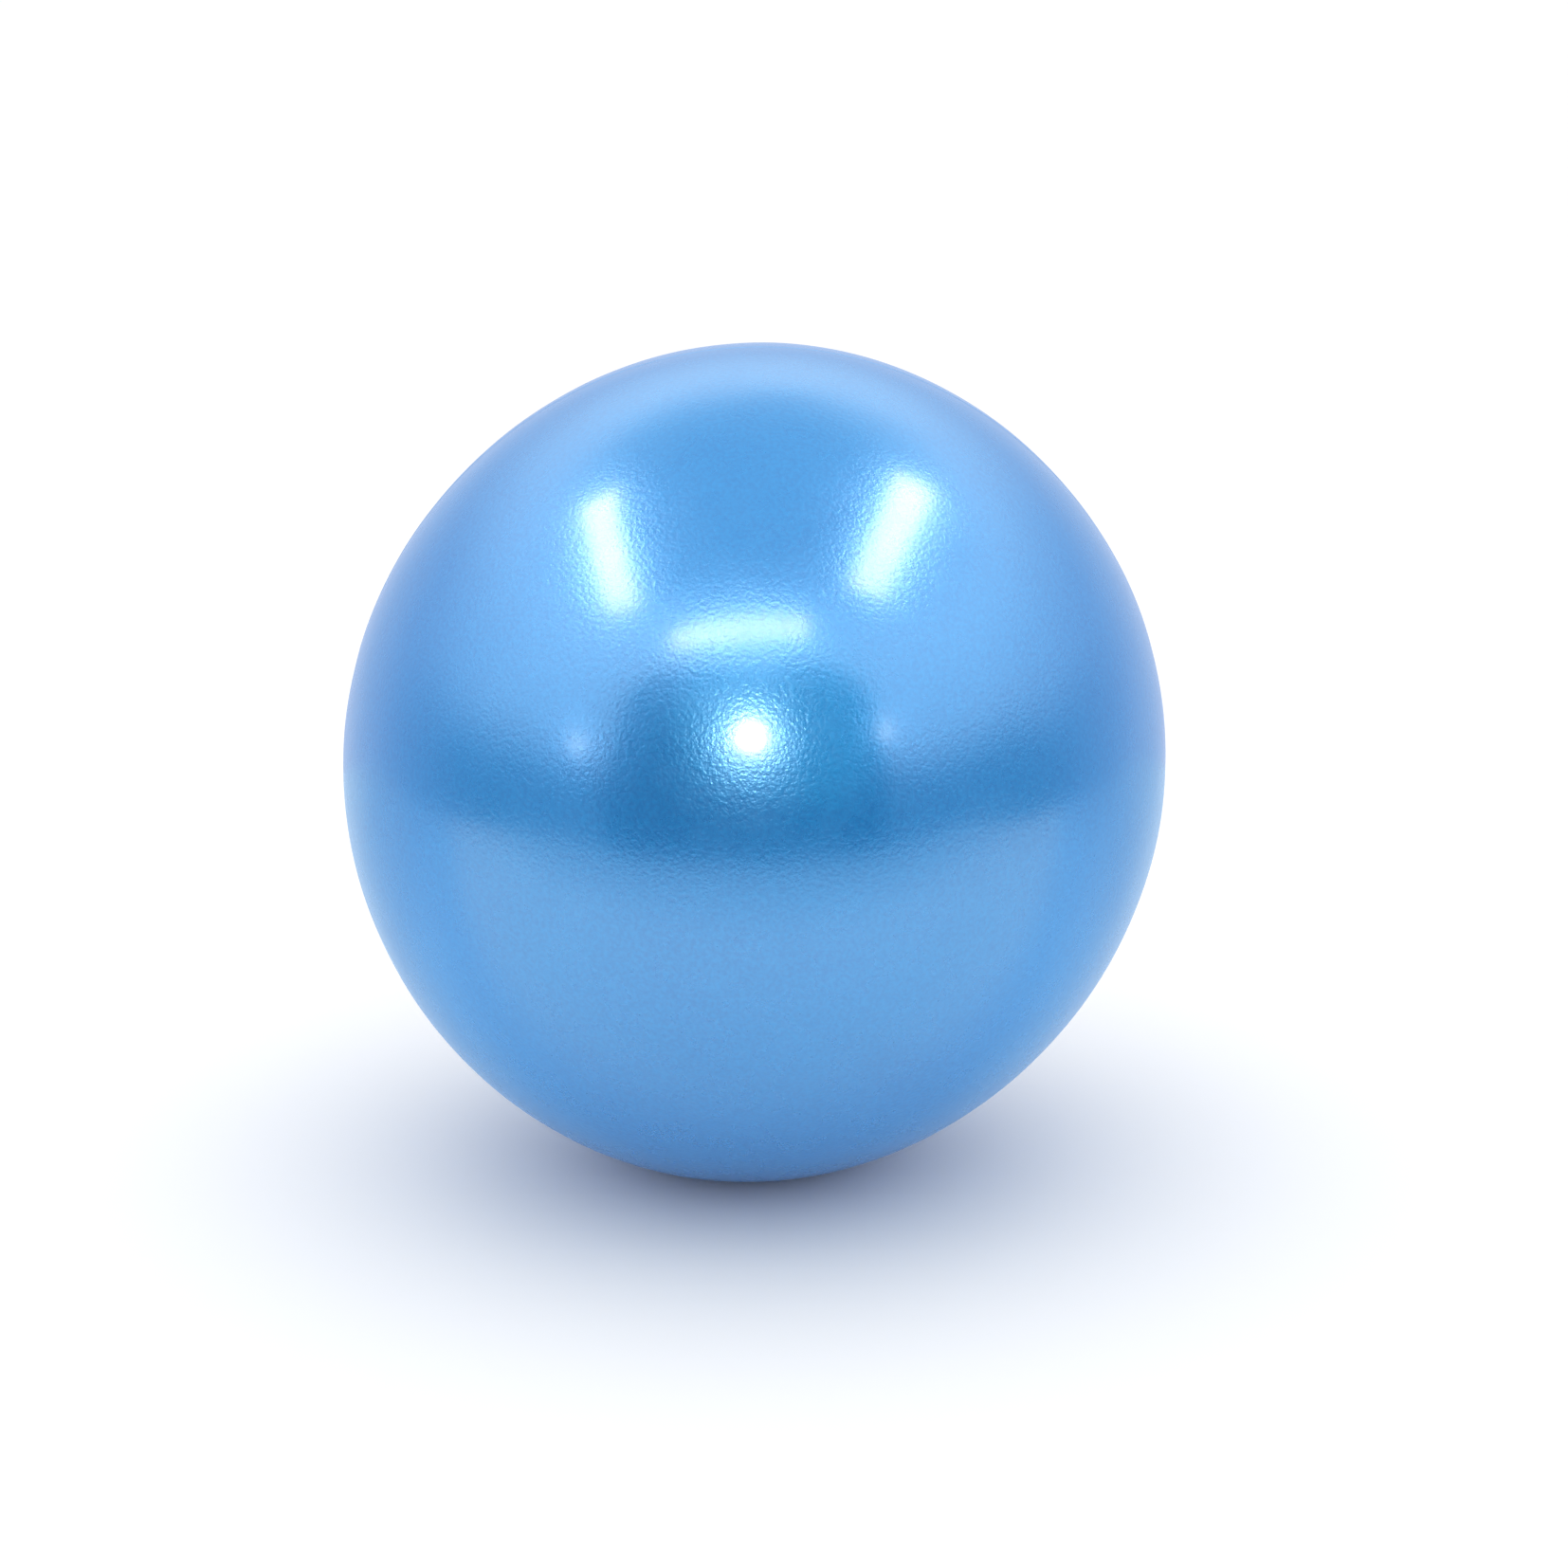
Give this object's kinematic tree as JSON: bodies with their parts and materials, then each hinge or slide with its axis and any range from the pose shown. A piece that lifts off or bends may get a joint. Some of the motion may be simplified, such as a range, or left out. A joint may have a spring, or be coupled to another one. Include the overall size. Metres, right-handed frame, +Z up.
{
  "type": "exercise ball",
  "caption": "Soft inflatable exercise ball with a smooth pearl-finish skin and a stoppered filling valve recessed in its rear pole, standing on a small flattened base.",
  "frame": {"origin": "on the floor, under the middle of the ball", "axes": "+Z up; +Y through the valve at the rear pole, the way the plug pulls out; the plain front of the ball faces -Y"},
  "size_m": [0.25, 0.2493, 0.253],
  "materials": {
    "pearl_blue_pvc": "satin",
    "seat_blue_pvc": "satin",
    "white_polyethylene": "satin"
  },
  "bodies": {
    "ball": {"ball_skin": "pearl_blue_pvc", "valve_seat": "seat_blue_pvc"},
    "plug": {"valve_plug": "white_polyethylene"}
  },
  "joints": [
    {"name": "plug_pull", "type": "slide", "parent": "ball", "child": "plug", "axis": [0, 1, 0], "range_m": [0, 0.03]}
  ]
}
